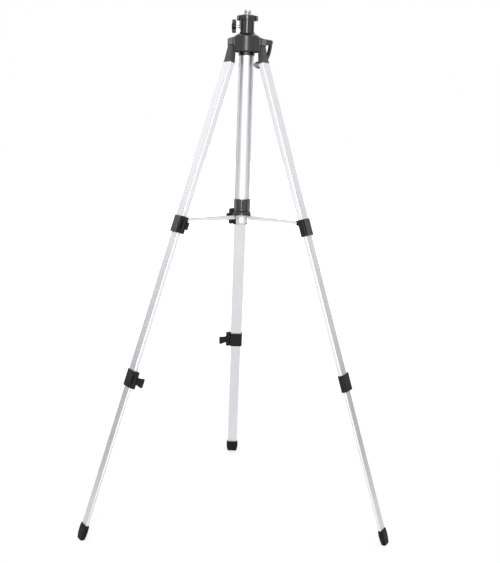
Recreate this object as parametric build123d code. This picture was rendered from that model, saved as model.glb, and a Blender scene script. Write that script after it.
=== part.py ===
from build123d import *
import os
from math import atan2, ceil, cos, degrees, hypot, pi, radians, sin, tan

# A laser level tripod: a crown with three telescopic legs, a spreader hub that slides on the
# centre tube, and a geared column with a platform and a 5/8 inch stud.
# Millimetres and degrees. Heights are above the floor while the pieces are made; at the end
# every piece is moved down so that the origin is the foot of the stud on the platform's seat.

# Stance and leg tubes
hinge_height = 1155.0        # hinge bolts of the legs
hinge_radius = 36.0          # hinge bolts from the tripod's axis
hinge_offset = 4.5           # a leg's axis runs this far inside its hinge bolt
spread_angle = 18.25         # a leg from the vertical, spread
leg_azimuths = {"front_left": 210.0, "front_right": -30.0, "rear": 90.0}
upper_clamp_drop = 447.0     # hinge bolt to the middle of the upper clamp, along the leg
lower_clamp_drop = 824.0     # hinge bolt to the middle of the lower clamp, along the leg
upper_tube_depth = 13.0      # flat-sided section, radial
upper_tube_width = 33.2      # flat-sided section, tangential
tube_corner = 2.6
tube_wall = 1.2
tube_gap = 0.5               # between a leg tube and the one inside it
tube_overlap = 60.0          # length of an inner tube that stays in the outer one
bush_cap = 6.0               # bush on the top end of an inner tube
bush_spigot = 18.0
bush_clearance = 0.15

# Leg fittings and feet
tongue_width = 16.0          # hinge barrel of a leg fitting
tongue_radius = 5.5
tongue_gap = 0.3
fitting_top_drop = 12.0      # where a fitting's shell begins, below its hinge bolt
fitting_neck_depth = 10.0
fitting_top_depth = 12.5
fitting_top_width = 22.4
fitting_top_corner = 4.0
fitting_flush_drop = 46.0    # where a fitting is flush with its tube
fitting_drop = 50.0          # lower edge of a leg fitting
fitting_lip = 0.3            # band along the lower edge of a leg fitting
fitting_spigot = 24.0
foot_length = 34.0
foot_wall = 2.4
foot_belly = 15.0            # widest place of a foot above its sole
foot_belly_wall = 3.0
foot_toe_depth = 8.0
foot_toe_width = 20.0
foot_toe_corner = 3.0
foot_sole = 9.0              # rubber under the end of the lower tube

# Leg clamps and their knobs
clamp_length = 40.0
clamp_wall = 2.2
clamp_seat = 15.0            # depth of the outer tube's seat in a clamp
knob_turn = 24.0             # knob axis, from tangential towards the tripod's axis
knob_shift = 10.0            # where the knob axis meets the leg's radial plane, outward
ear_projection = 10.0        # pinch ear of a clamp beyond the side of its clamp
ear_width = 10.0
ear_wall = 6.5               # outside the pinch slot
slot_width = 3.0
slot_height = 19.5
knob_stem_radius = 2.5
knob_thickness = 7.0
knob_root = 17.5             # height of a knob at its root
knob_waist = 18.5            # height of a knob half-way, so that its sides are hollow
knob_span = 25.0             # height of a knob at its end
knob_corner = 3.0
knob_round = 1.5
knob_rim = 2.4               # around the sunk panel on each side of a knob
knob_panel_depth = 1.0
upper_knob_length = 7.5
lower_knob_length = 20.5

# Crown
crown_radius = 30.0
crown_drop = 21.7            # underside of the crown below the hinge bolts
crown_shoulder_rise = 14.5   # rim of the crown above the hinge bolts
crown_edge = 2.5
arm_width = 31.0             # an arm, tangential
arm_reach = 46.0             # end of an arm from the tripod's axis
arm_end_rise = 7.0           # roof of an arm at its end, above the hinge bolts
arm_root_rise = 13.0         # roof of an arm at the crown's rim, above the hinge bolts
arm_drop = 8.0               # underside of an arm below the hinge bolts
arm_corner = 5.0
arm_edge = 1.5
arm_end_wall = 1.5
cheek_reach = 43.0           # end of the cheeks below an arm from the tripod's axis
cheek_thickness = 2.0
hinge_bolt_radius = 3.0
bolt_head_radius = 5.0
bolt_head_height = 3.3
pocket_radius = 28.5         # relief of the crown behind a leg fitting
base_ring_top_radius = 19.0
base_ring_low_radius = 18.2
base_ring_height = 8.0

# Centre tube, spreader hub and struts
center_tube_radius = 17.0
center_tube_wall = 1.5
center_tube_length = 395.3
tube_seat_depth = 8.0
end_bush_length = 30.0
end_bush_lip = 3.0
hub_rise = 11.5              # grip sleeve above the lower end of the centre tube, spread
hub_clearance = 0.2
hub_collar_radius = 19.5
hub_collar_height = 29.0
hub_collar_edge = 1.5
flute_count = 16
flute_radius = 1.4
flute_inset = 3.5            # ends of a flute from the ends of the grip sleeve
ring_radius = 21.5
ring_height = 10.0
ring_chamfer = 3.0
lug_radius = 4.7
strut_pin_radius = 1.8
strut_pin_head = 3.0
strut_pin_head_height = 0.9
strut_hub_radius = 23.5      # strut pins of the hub from the tripod's axis
strut_pin_drop = 15.5        # strut pins of the hub below its grip sleeve
strut_bar_length = 74.0
strut_bar_thickness = 6.0
strut_bar_root = 9.0
strut_bar_end = 7.5
strut_channel_wall = 1.2
strut_overlap = 21.6         # strips beside the end of the bar
strut_strip_thickness = 1.7
strut_strip_height = 5.6
eye_radius = 4.6
eye_offset = 21.1            # strut eye from the leg's axis
eye_rise = 17.2              # strut eye above the middle of the upper clamp
eye_tongue_radius = 4.0

# Neck, column, platform and stud
neck_rise = 21.2             # foot of the neck above the hinge bolts
neck_height = 30.0
neck_radius = 16.2
neck_bead = 1.3
neck_bead_height = 3.0
column_radius = 14.0
column_wall = 1.5
column_tail = 17.0           # lower end of the column below the centre tube, lowered
column_lift = 290.0
plug_lip = 5.0
plug_round = 3.5
plug_length = 12.0
platform_radius = 25.0
platform_thickness = 9.7
platform_edge = 2.0
seat_radius = 16.0
seat_rise = 2.0
stud_radius = 15.875 / 2     # 5/8 inch
stud_height = 12.0
stud_chamfer = 1.0
stud_recess = 1.0            # foot of the stud below the seat's face
stud_relief = 1.0            # room round the foot of the stud in its recess
stud_shank_radius = 6.0
platform_spigot = 16.0

# Head lock
lock_rise = 15.8             # lock screw above the foot of the neck
lock_screw_radius = 2.5
lock_boss_reach = 18.5
lock_boss_width = 11.0
lock_boss_drop = 5.0
lock_wing_start = 26.3
lock_wing_depth = 10.5
lock_wing_span = 31.0
lock_wing_thickness = 5.0
lock_hub_radius = 7.0
lock_hub_dome = 1.6

# Elevator rack, pinion and crank
crank_azimuth = 30.0
crank_rise = 3.4             # crank's axis above the hinge bolts
gear_module = 1.0
pinion_teeth = 10
pressure_angle = 20.0
tooth_share = 0.42           # tooth thickness over the pitch, the rest is play
rack_addendum = 0.55
pinion_addendum = 0.8
dedendum = 1.15
pinion_width = 8.0
rack_width = 9.8
rack_pitch_line = 12.0       # from the column's axis
rack_back = 8.8              # from the column's axis
crank_shaft_radius = 3.0
crank_shaft_tail = 14.0
crank_boss_radius = 7.0
crank_boss_end = 48.0        # along the crank's axis, from the tripod's axis
crank_hub_radius = 6.5
crank_hub_length = 9.7
crank_arm_thickness = 5.0
crank_arm_width = 9.0
crank_arm_side = 66.0        # grip from the shaft, sideways
crank_arm_drop = 48.0        # grip from the shaft, downwards
crank_pin_radius = 2.5
crank_pin_head = 4.0
crank_grip_radius = 9.0
crank_grip_end_radius = 7.4
crank_grip_length = 20.0
crank_screw_radius = 4.2
crank_screw_stem = 1.5

# Fits
running_fit = 0.06
seat_fit = 0.05
guide_fit = 0.15
slide_fit = 0.3
over = 1.0                   # cutters run this far past a face, and joined shapes into each other

# Worked out from the sizes above
spread = radians(spread_angle)
leg_reach = (hinge_height - hinge_offset * sin(spread)) / cos(spread)
tube_step = 2 * (tube_wall + tube_gap)
upper_tube = (upper_tube_depth, upper_tube_width)
middle_tube = (upper_tube_depth - tube_step, upper_tube_width - tube_step)
lower_tube = (upper_tube_depth - 2 * tube_step, upper_tube_width - 2 * tube_step)
upper_tube_end = upper_clamp_drop - clamp_length / 2 + clamp_seat
middle_tube_end = lower_clamp_drop - clamp_length / 2 + clamp_seat
crown_bottom = hinge_height - crown_drop
crown_shoulder = hinge_height + crown_shoulder_rise
tube_seat_top = crown_bottom + tube_seat_depth
center_tube_bottom = tube_seat_top - center_tube_length
hub_collar_bottom = center_tube_bottom + hub_rise
strut_hub_height = hub_collar_bottom - strut_pin_drop
neck_bottom = hinge_height + neck_rise
neck_top = neck_bottom + neck_height
lock_height = neck_bottom + lock_rise
platform_bottom = neck_top + slide_fit
seat_height = platform_bottom + platform_thickness + seat_rise
column_bottom = center_tube_bottom - column_tail
column_bore = column_radius + guide_fit
crank_height = hinge_height + crank_rise
pinion_radius = gear_module * pinion_teeth / 2
crank_offset = rack_pitch_line + pinion_radius
tooth_pitch = pi * gear_module
crank_hub_start = crank_boss_end + slide_fit
crank_hub_end = crank_hub_start + crank_hub_length
crank_arm_start = crank_hub_end - crank_arm_thickness
fitting_inner_x = hinge_offset - tongue_radius
hub_bore = center_tube_radius + hub_clearance
bar_half = strut_bar_thickness / 2
channel_half = bar_half - strut_channel_wall
lug_half = channel_half - slide_fit
strip_inner = bar_half + slide_fit
strip_outer = strip_inner + strut_strip_thickness
eye_tongue_half = strip_inner - slide_fit
ON_BASE = (Align.CENTER, Align.CENTER, Align.MIN)


# Shapes used by several pieces
def disc(radius, low, high):
    """Upright cylinder on the axis between two heights."""
    return Pos(0, 0, low) * Cylinder(radius, high - low, align=ON_BASE)


def rod_x(radius, start, end):
    """Cylinder along X between two places."""
    return Pos(start, 0, 0) * Rot(0, 90, 0) * Cylinder(radius, end - start, align=ON_BASE)


def rod_y(radius, start, end):
    """Cylinder along Y between two places."""
    return Pos(0, start, 0) * Rot(-90, 0, 0) * Cylinder(radius, end - start, align=ON_BASE)


def turned(points):
    """Solid of revolution about Z from (radius, height) points."""
    return revolve(Plane.XZ * make_face(Polyline(*points, close=True)), Axis.Z)


def plate_xz(sketch, near, far):
    """Plate with an outline in the XZ plane, between two places along Y."""
    return Pos(0, far, 0) * extrude(Plane.XZ * sketch, far - near)


def tapered_bar(length, root, end, root_radius):
    """Outline of a strut: round at the pin, tapering to a rounded end."""
    corner = end / 2
    outline = make_face(Polyline((0, -root / 2), (length - corner, -end / 2),
                                 (length - corner, end / 2), (0, root / 2), close=True))
    return outline + Circle(root_radius) + Pos(length - corner, 0) * Circle(corner)


def section(tube, grow=0.0):
    """Flat-sided section of a leg tube, grown all round: depth along X, width along Y."""
    return RectangleRounded(tube[0] + 2 * grow, tube[1] + 2 * grow, max(tube_corner + grow, tube_wall / 4))


def along_leg(outline, top, bottom):
    """Outline extruded down a leg between two drops below the hinge."""
    return extrude(Pos(0, 0, -bottom) * outline, bottom - top)


def leg_place(azimuth):
    """Frame of a leg: Z up its axis, X outward, Y tangential, origin beside its hinge bolt."""
    hinge = Rot(0, 0, azimuth) * Pos(hinge_radius, 0, hinge_height)
    return hinge * Rot(0, -spread_angle, 0) * Pos(-hinge_offset, 0, 0)


def knob_place(drop):
    """Frame of a clamp knob within its leg: X along the knob's axis, outward."""
    return Pos(knob_shift, 0, -drop) * Rot(0, 0, 90 + knob_turn)


def crank_place():
    """Frame of the crank: X along its shaft, outward, Z up."""
    return Rot(0, 0, crank_azimuth) * Pos(0, -crank_offset, crank_height)


def on_legs(piece):
    """One copy of a piece at each leg's azimuth."""
    return [Rot(0, 0, azimuth) * piece for azimuth in leg_azimuths.values()]


# Crown and the pieces fixed to it
def make_crown():
    """Round body with a cone on top and a closed arm over each leg, with cheeks below it."""
    bore = column_bore + guide_fit
    body = turned([
        (bore, crown_bottom),
        (crown_radius, crown_bottom),
        (crown_radius, crown_shoulder),
        (neck_radius + neck_bead, neck_bottom),
        (bore, neck_bottom),
    ])
    rim = [edge for edge in body.edges().filter_by(GeomType.CIRCLE) if abs(edge.radius - crown_radius) < 0.01]
    body = fillet(rim, crown_edge)
    body += on_legs(make_arm())
    body += crank_place() * rod_x(crank_boss_radius, crank_offset, crank_boss_end)
    body -= on_legs(make_tongue_slot() + make_pocket() + make_bolt_bore())
    body -= disc(column_bore + guide_fit, crown_bottom - over, neck_bottom + over)
    body -= disc(center_tube_radius + seat_fit, crown_bottom - over, tube_seat_top)
    return body - crank_place() * make_pinion_room()


def make_arm():
    """Arm with a sloping roof and a rounded end, and the block of its cheeks below."""
    low = hinge_height - arm_drop
    side = make_face(FilletPolyline(
        (column_radius, crown_bottom),
        (cheek_reach, crown_bottom),
        (cheek_reach, low),
        (arm_reach, low),
        (arm_reach, hinge_height + arm_end_rise),
        (crown_radius - crown_edge, hinge_height + arm_root_rise),
        (column_radius, hinge_height + arm_root_rise),
        radius=arm_edge, close=True))
    block = plate_xz(side, -arm_width / 2, arm_width / 2)
    plan = RectangleRounded(2 * arm_reach, arm_width, arm_corner)
    return block & (Pos(0, 0, crown_bottom) * extrude(plan, neck_bottom - crown_bottom))


def make_tongue_slot():
    """Slot of an arm for the hinge barrel of a leg fitting, closed above and at the arm's end."""
    inner = hinge_radius - tongue_radius - tongue_gap
    low = hinge_height - arm_drop - over
    roof = hinge_height + tongue_radius + tongue_gap
    slot = Box(arm_reach - arm_end_wall - inner, tongue_width + 2 * tongue_gap, roof - low,
               align=(Align.MIN, Align.CENTER, Align.MIN))
    return Pos(inner, 0, low) * slot


def make_pocket():
    """Room between the cheeks, which a leg fitting swings into when its leg folds."""
    low = crown_bottom - over
    room = Box(arm_reach, arm_width - 2 * cheek_thickness, hinge_height - arm_drop - low,
               align=(Align.MIN, Align.CENTER, Align.MIN))
    return Pos(pocket_radius, 0, low) * room


def make_bolt_bore():
    """Bore of a hinge bolt, with a counterbore for its head on one side."""
    half = arm_width / 2
    bore = rod_y(hinge_bolt_radius + seat_fit, -half - over, half - seat_fit)
    bore += rod_y(bolt_head_radius + seat_fit, -half - over, -half + bolt_head_height)
    return Pos(hinge_radius, 0, hinge_height) * bore


def make_pinion_room():
    """Chamber of the pinion and bearing bore of the crank shaft."""
    half = pinion_width / 2 + 2 * slide_fit
    room = rod_x(pinion_radius + pinion_addendum + 2 * slide_fit, -half, half)
    tail = crank_shaft_tail + slide_fit
    return room + rod_x(crank_shaft_radius + running_fit, -tail, crank_boss_end + over)


def make_base_ring():
    """Cover under the crown around the centre tube."""
    bore = center_tube_radius + guide_fit
    low = crown_bottom - slide_fit - base_ring_height
    return turned([
        (bore, low),
        (base_ring_low_radius, low),
        (base_ring_top_radius, low + base_ring_height / 3),
        (base_ring_top_radius, low + base_ring_height + slide_fit),
        (bore, low + base_ring_height + slide_fit),
    ])


def make_center_tube():
    tube = disc(center_tube_radius, center_tube_bottom, tube_seat_top)
    return tube - disc(center_tube_radius - center_tube_wall, center_tube_bottom - over, tube_seat_top + over)


def make_end_bush():
    """Guide in the lower end of the centre tube, with a lip under the tube."""
    top = center_tube_bottom + end_bush_length
    low = center_tube_bottom - end_bush_lip
    bush = disc(center_tube_radius - center_tube_wall - seat_fit, low, top)
    bush += disc(center_tube_radius, low, center_tube_bottom)
    return bush - disc(column_bore, low - over, top + over)


def make_neck():
    """Collar above the crown that guides the column, with the boss of its lock screw."""
    collar = disc(neck_radius, neck_bottom, neck_top)
    collar += disc(neck_radius + neck_bead, neck_bottom, neck_bottom + neck_bead_height)
    boss_low = lock_height - lock_boss_drop
    boss = Pos(-lock_boss_reach, 0, boss_low) * Box(
        lock_boss_reach, lock_boss_width, neck_top - boss_low, align=(Align.MIN, Align.CENTER, Align.MIN))
    collar += fillet(boss.edges().filter_by(Axis.Z).group_by(Axis.X)[0], lock_boss_width / 4)
    collar -= disc(column_bore, neck_bottom - over, neck_top + over)
    bore = rod_x(lock_screw_radius + running_fit, -lock_boss_reach - over, 0)
    return collar - Pos(0, 0, lock_height) * bore


def make_hinge_bolt():
    half = arm_width / 2
    bolt = rod_y(hinge_bolt_radius, -half, half - 2 * seat_fit)
    bolt += rod_y(bolt_head_radius, -half, -half + bolt_head_height)
    return Pos(hinge_radius, 0, hinge_height) * bolt


# Column, platform and stud
def rack_span():
    """Lower and upper end of the rack with the column down, at tooth gaps level with the pinion."""
    turns = ceil(column_lift / tooth_pitch) + 2
    return crank_height - turns * tooth_pitch, crank_height + 2 * tooth_pitch


def make_column():
    """Column tube with a slot for the rack."""
    tube = disc(column_radius, column_bottom, platform_bottom)
    tube -= disc(column_radius - column_wall, column_bottom - over, platform_bottom + over)
    low, high = rack_span()
    slot = Box(rack_width + 2 * seat_fit, column_radius, high - low + 2 * seat_fit,
               align=(Align.CENTER, Align.MAX, Align.MIN))
    return tube - Rot(0, 0, crank_azimuth) * Pos(0, -rack_back, low - seat_fit) * slot


def make_rack():
    """Toothed strip in the slot of the column, with a tooth gap level with the pinion."""
    low, high = rack_span()
    lean = tan(radians(pressure_angle))
    root = rack_pitch_line - dedendum
    tip = rack_pitch_line + rack_addendum
    half_root = tooth_share * tooth_pitch / 2 + dedendum * lean
    half_tip = tooth_share * tooth_pitch / 2 - rack_addendum * lean
    points = [(rack_back, low), (root, low)]
    for index in range(round((high - low) / tooth_pitch)):
        middle = low + (index + 0.5) * tooth_pitch
        points += [(root, middle - half_root), (tip, middle - half_tip),
                   (tip, middle + half_tip), (root, middle + half_root)]
    points += [(root, high), (rack_back, high)]
    strip = plate_xz(make_face(Polyline(*points, close=True)), -rack_width / 2, rack_width / 2)
    return Rot(0, 0, crank_azimuth - 90) * strip


def make_end_plug():
    """Plug in the lower end of the column, with a rounded end."""
    plug = disc(column_radius - column_wall - seat_fit, column_bottom - over, column_bottom + plug_length)
    end = disc(column_radius, column_bottom - plug_lip, column_bottom)
    return plug + fillet(end.edges().group_by(Axis.Z)[0], plug_round)


def make_platform():
    """Platform with its raised seat, a recess for the foot of the stud, and a spigot in the column."""
    top = platform_bottom + platform_thickness
    low = platform_bottom - platform_spigot
    table = disc(platform_radius, platform_bottom, top)
    table = fillet(table.edges().group_by(Axis.Z)[-1], platform_edge)
    table = fillet(table.edges().group_by(Axis.Z)[0], platform_edge / 2)
    table += disc(seat_radius, top - over, seat_height)
    table += disc(column_radius - column_wall - seat_fit, low, platform_bottom + over)
    table -= disc(stud_radius + stud_relief, seat_height - stud_recess, seat_height + over)
    return table - disc(stud_shank_radius + seat_fit, low - over, seat_height)


def make_stud():
    """Stud on the floor of the seat's recess, with its shank through the platform."""
    foot = seat_height - stud_recess
    thread = disc(stud_radius, foot, seat_height + stud_height)
    thread = chamfer(thread.edges().group_by(Axis.Z)[-1], stud_chamfer)
    return thread + disc(stud_shank_radius, platform_bottom - platform_spigot, foot + over)


# Head lock
def make_lock_screw():
    outer = lock_wing_start + lock_wing_depth - lock_hub_dome
    return Pos(0, 0, lock_height) * rod_x(lock_screw_radius, -outer, -column_radius - slide_fit)


def make_lock_wing():
    outer = lock_wing_start + lock_wing_depth
    depth = lock_wing_depth - lock_hub_dome / 2
    blade = Pos(-lock_wing_start - depth / 2, 0) * RectangleRounded(depth, lock_wing_span, depth / 3)
    wing = plate_xz(blade, -lock_wing_thickness / 2, lock_wing_thickness / 2)
    hub = rod_x(lock_hub_radius, -outer, -lock_wing_start)
    wing += fillet(hub.edges().group_by(Axis.X)[0], lock_hub_dome)
    wing -= rod_x(lock_screw_radius + seat_fit, -outer + lock_hub_dome, 0)
    return Pos(0, 0, lock_height) * wing


# Crank
def make_shaft():
    shaft = rod_x(crank_shaft_radius, -crank_shaft_tail, crank_hub_end)
    shaft -= rod_x(crank_screw_stem + seat_fit, crank_hub_start, crank_hub_end + over)
    return crank_place() * shaft


def make_pinion():
    """Pinion on the shaft; one tooth points at the rack."""
    root = pinion_radius - dedendum
    tip = pinion_radius + pinion_addendum
    lean = tan(radians(pressure_angle))
    half = tooth_share * tooth_pitch / 2
    half_root = half + dedendum * lean
    half_tip = half - pinion_addendum * lean
    tooth = make_face(Polyline((0, -half_root), (root, -half_root), (tip, -half_tip),
                               (tip, half_tip), (root, half_root), (0, half_root), close=True))
    outline = Circle(root)
    outline += [Rot(0, 0, index * 360 / pinion_teeth) * tooth for index in range(pinion_teeth)]
    outline -= Circle(crank_shaft_radius + seat_fit / 2)
    return crank_place() * Pos(-pinion_width / 2, 0, 0) * extrude(Plane.YZ * outline, pinion_width)


def make_crank_arm():
    """Sickle arm with its hub on the shaft and the pin of the grip."""
    bow = TangentArc((0, 0), (crank_arm_side, -crank_arm_drop), tangent=(0, -1))
    arm = Pos(crank_arm_start, 0, 0) * extrude(Plane.YZ * SlotArc(bow, crank_arm_width), crank_arm_thickness)
    arm += rod_x(crank_hub_radius, crank_hub_start, crank_hub_end)
    pin_end = crank_hub_end + crank_grip_length + 2 * slide_fit
    pin = rod_x(crank_pin_radius, crank_hub_end - over, pin_end)
    pin += rod_x(crank_pin_head, pin_end, pin_end + crank_pin_radius / 2)
    arm += Pos(0, crank_arm_side, -crank_arm_drop) * pin
    arm -= rod_x(crank_shaft_radius + seat_fit, crank_hub_start - over, crank_hub_end + over)
    return crank_place() * arm


def make_crank_screw():
    screw = rod_x(crank_screw_radius, crank_hub_end, crank_hub_end + crank_screw_radius / 2)
    return crank_place() * (screw + rod_x(crank_screw_stem, crank_hub_start + over, crank_hub_end))


def make_crank_grip():
    """Barrel grip that spins on the arm's pin."""
    start = crank_hub_end + slide_fit
    end = start + crank_grip_length
    crown_point = ((start + end) / 2, crank_grip_radius)
    outline = [
        Line((start, 0), (start, crank_grip_end_radius)),
        ThreePointArc((start, crank_grip_end_radius), crown_point, (end, crank_grip_end_radius)),
        Line((end, crank_grip_end_radius), (end, 0)),
        Line((end, 0), (start, 0)),
    ]
    grip = revolve(make_face(outline), Axis.X)
    grip -= rod_x(crank_pin_radius + running_fit, start - over, end + over)
    return crank_place() * Pos(0, crank_arm_side, -crank_arm_drop) * grip


# Spreader hub and struts
def make_hub_collar():
    """Fluted grip sleeve of the hub."""
    top = hub_collar_bottom + hub_collar_height
    collar = disc(hub_collar_radius, hub_collar_bottom, top)
    collar = fillet(collar.edges().group_by(Axis.Z)[0], hub_collar_edge)
    collar -= disc(hub_bore, hub_collar_bottom - over, top + over)
    flute = disc(flute_radius, hub_collar_bottom + flute_inset, top - flute_inset)
    flute = Pos(hub_collar_radius, 0, 0) * flute
    return collar - [Rot(0, 0, index * 360 / flute_count) * flute for index in range(flute_count)]


def make_spreader_ring():
    """Ring under the grip sleeve with a tongue for each strut."""
    low = hub_collar_bottom - ring_height
    shoulder = hub_collar_bottom - ring_chamfer
    body = turned([
        (hub_bore, low),
        (ring_radius, low),
        (ring_radius, shoulder),
        (ring_radius - ring_chamfer, hub_collar_bottom),
        (hub_bore, hub_collar_bottom),
    ])
    web = make_face(Polyline(
        (hub_bore, low),
        (hub_bore, shoulder - over),
        (ring_radius, shoulder - over),
        (strut_hub_radius + lug_radius, strut_hub_height),
        (strut_hub_radius, strut_hub_height), close=True))
    eye = Pos(strut_hub_radius, strut_hub_height) * Circle(lug_radius)
    body += on_legs(plate_xz(web + eye, -lug_half, lug_half))
    pin = rod_y(strut_pin_radius + seat_fit, -bar_half, bar_half)
    body -= on_legs(Pos(strut_hub_radius, 0, strut_hub_height) * pin)
    return body - disc(hub_bore, strut_hub_height - 2 * lug_radius, hub_collar_bottom + over)


def riveted(half):
    """Rivet across a joint of this half width, with a head on each side."""
    rivet = rod_y(strut_pin_radius, -half, half)
    rivet += rod_y(strut_pin_head, half, half + strut_pin_head_height)
    return rivet + rod_y(strut_pin_head, -half - strut_pin_head_height, -half)


def make_hub_pin():
    """Rivet that joins a strut to its tongue."""
    return Pos(strut_hub_radius, 0, strut_hub_height) * riveted(bar_half + slide_fit)


def strut_eye():
    """Strut eye of the upper clamp within the leg: its X and Z."""
    return -eye_offset, -upper_clamp_drop + eye_rise


def strut_reach():
    """From a strut's hub pin to its clamp eye, spread: outward and upward."""
    x, z = strut_eye()
    x -= hinge_offset
    radius = hinge_radius + x * cos(spread) - z * sin(spread)
    height = hinge_height + x * sin(spread) + z * cos(spread)
    return radius - strut_hub_radius, height - strut_hub_height


def strut_angle():
    """Slope of a strut from its hub pin to its clamp eye, spread, in degrees."""
    outward, upward = strut_reach()
    return degrees(atan2(upward, outward))


def make_strut_bar():
    """Pressed channel from the hub, open below; its forked end straddles the hub's tongue."""
    bar = plate_xz(tapered_bar(strut_bar_length, strut_bar_root, strut_bar_end, strut_bar_root / 2),
                   -bar_half, bar_half)
    fork = lug_radius + slide_fit
    end = strut_bar_length - strut_bar_end
    mouth = Box(strut_bar_root + fork, 2 * channel_half, 2 * strut_bar_root,
                align=(Align.MIN, Align.CENTER, Align.CENTER))
    channel = Box(end - fork, 2 * channel_half, strut_bar_root, align=(Align.MIN, Align.CENTER, Align.MAX))
    bar -= Pos(-strut_bar_root, 0, 0) * mouth
    bar -= Pos(fork, 0, strut_bar_end / 2 - strut_channel_wall) * channel
    bar -= rod_y(strut_pin_radius + running_fit, -bar_half - over, bar_half + over)
    return Pos(strut_hub_radius, 0, strut_hub_height) * Rot(0, -strut_angle(), 0) * bar


def make_strut_strips():
    """Pair of strips on the clamp's tongue, joined by their rivet, pointing at the hub."""
    length = hypot(*strut_reach()) - strut_bar_length + strut_overlap
    outline = tapered_bar(length, strut_strip_height, strut_strip_height, eye_radius)
    pair = plate_xz(outline, strip_inner, strip_outer) + plate_xz(outline, -strip_outer, -strip_inner)
    x, z = strut_eye()
    return Pos(x, 0, z) * Rot(0, 180 - strut_angle() + spread_angle, 0) * (pair + riveted(strip_outer))


# Pieces of a leg, in the leg's own frame
def make_fitting():
    """Fitting on top of a leg: hinge barrel, widening shell with a lower band, and a spigot in the tube."""
    half = tongue_width / 2
    top = RectangleRounded(fitting_top_depth, fitting_top_width, fitting_top_corner)
    neck = RectangleRounded(fitting_neck_depth, tongue_width, tongue_radius / 2)
    fitting = loft([
        Pos(0, 0, -fitting_flush_drop) * section(upper_tube),
        Pos(fitting_inner_x + fitting_top_depth / 2, 0, -fitting_top_drop) * top,
    ])
    fitting += along_leg(section(upper_tube, fitting_lip), fitting_flush_drop, fitting_drop)
    spigot = section(upper_tube, -tube_wall - seat_fit)
    fitting += along_leg(spigot, fitting_drop, fitting_drop + fitting_spigot)
    neck_x = fitting_inner_x + fitting_neck_depth / 2
    fitting += Pos(neck_x, 0, 0) * along_leg(neck, 0, fitting_top_drop + over)
    fitting += Pos(hinge_offset, 0, 0) * rod_y(tongue_radius, -half, half)
    bore = rod_y(hinge_bolt_radius + running_fit, -half - over, half + over)
    return fitting - Pos(hinge_offset, 0, 0) * bore


def make_tube(tube, top, bottom):
    return along_leg(section(tube) - section(tube, -tube_wall), top, bottom)


def make_bush(outer, inner, top):
    """Bush on the top end of an inner tube, sliding in the outer tube."""
    cap = along_leg(section(outer, -tube_wall - bush_clearance), top - bush_cap, top)
    return cap + along_leg(section(inner, -tube_wall - seat_fit), top, top + bush_spigot)


def on_knob_axis(side):
    """Place along the knob's axis that is this far from the leg's radial plane."""
    return side / cos(radians(knob_turn))


def screw_tip(tube):
    """Tip of a knob's screw, in the wall of its clamp, along the knob's axis."""
    return on_knob_axis(tube[1] / 2 + clamp_wall / 2)


def ear_end(tube):
    """End of a clamp's pinch ear along the knob's axis."""
    return on_knob_axis(tube[1] / 2 + clamp_wall + ear_projection)


def make_clamp(outer, inner, drop):
    """Clamp on the lower end of an outer tube, with a slotted pinch ear for its knob."""
    low = drop + clamp_length / 2
    top = low - clamp_length
    start = on_knob_axis(outer[1] / 2)
    end = ear_end(outer)
    ear = Box(end - start, ear_width, clamp_length, align=(Align.MIN, Align.CENTER, Align.CENTER))
    ear = fillet(ear.edges().filter_by(Axis.Z).group_by(Axis.X)[-1], ear_width / 4)
    slot = Box(slot_width, ear_width + 2 * slide_fit, slot_height,
               align=(Align.MAX, Align.CENTER, Align.CENTER))
    body = along_leg(section(outer, clamp_wall), top, low) + knob_place(drop) * Pos(start, 0, 0) * ear
    if drop == upper_clamp_drop:
        body += make_eye_tongue()
    body -= knob_place(drop) * Pos(end - ear_wall, 0, 0) * slot
    body -= along_leg(section(inner, slide_fit), top - over, low + over)
    body -= along_leg(section(outer, seat_fit), top - over, top + clamp_seat)
    bore = rod_x(knob_stem_radius + running_fit, screw_tip(outer) - slide_fit, end + over)
    return body - knob_place(drop) * bore


def make_eye_tongue():
    """Thin tongue at the inner top corner of the upper clamp for the strut's eye."""
    x, z = strut_eye()
    face = -upper_tube_depth / 2
    top = -upper_clamp_drop + clamp_length / 2
    web = make_face(Polyline((face, top), (x, z + eye_tongue_radius), (x - eye_tongue_radius, z),
                             (x, z - eye_tongue_radius), (face, top - clamp_length / 2), close=True))
    tongue = plate_xz(web + Pos(x, z) * Circle(eye_tongue_radius), -eye_tongue_half, eye_tongue_half)
    return tongue - Pos(x, 0, z) * rod_y(strut_pin_radius + running_fit, -eye_radius, eye_radius)


def make_knob(outer, drop, length):
    """Bow-tie knob moulded on its screw, which draws the ear towards the clamp."""
    start = ear_end(outer) + slide_fit
    end = start + length
    middle = (start + end) / 2
    upper = ThreePointArc((start, knob_root / 2), (middle, knob_waist / 2), (end, knob_span / 2))
    lower = ThreePointArc((start, -knob_root / 2), (middle, -knob_waist / 2), (end, -knob_span / 2))
    fan = make_face([upper, Line(upper @ 1, lower @ 1), lower, Line(lower @ 0, upper @ 0)])
    fan = fillet(fan.vertices().group_by(Axis.X)[-1], knob_corner)
    half = knob_thickness / 2
    knob = plate_xz(fan, -half, half)
    knob = fillet(knob.edges().filter_by(Axis.Z).group_by(Axis.X)[-1], knob_round)
    panel = offset(fan, -knob_rim)
    knob -= plate_xz(panel, half - knob_panel_depth, half + over)
    knob -= plate_xz(panel, -half - over, knob_panel_depth - half)
    return knob_place(drop) * (knob + rod_x(knob_stem_radius, screw_tip(outer), start + over))


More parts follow.
